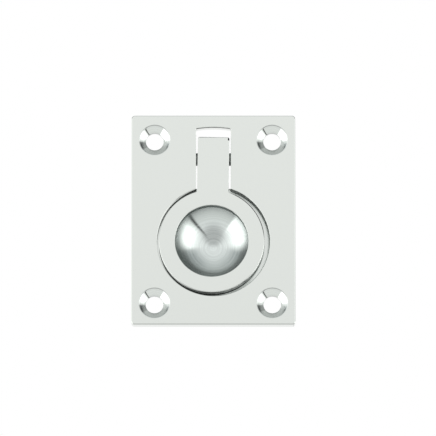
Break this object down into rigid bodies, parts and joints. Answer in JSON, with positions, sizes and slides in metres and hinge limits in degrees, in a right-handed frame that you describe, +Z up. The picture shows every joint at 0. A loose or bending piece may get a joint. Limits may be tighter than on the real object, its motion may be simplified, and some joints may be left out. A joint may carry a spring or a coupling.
{
  "type": "flush ring pull",
  "caption": "Flush ring pull: rectangular plate with countersunk screw holes, a finger cup, and a hinged ring that lies level with the face and swings out.",
  "frame": {"origin": "middle of the four screw holes on the flange's back face, the face that lies on the door or drawer front", "axes": "+Z up along the stem, from the ring towards the hinge pin; the polished face looks towards -Y; +X to the right as seen from the face"},
  "size_m": [0.048, 0.0102, 0.063],
  "materials": {
    "plate": "polished",
    "ring": "polished",
    "pin": "satin"
  },
  "bodies": {
    "base": {"plate": "plate", "hinge_pin": "pin"},
    "pull": {"ring": "ring"}
  },
  "joints": [
    {"name": "ring_hinge", "type": "hinge", "parent": "base", "child": "pull", "pos_m": [0, 0.002, 0.01995], "axis": [-1, 0, 0], "range_deg": [0, 115]}
  ]
}
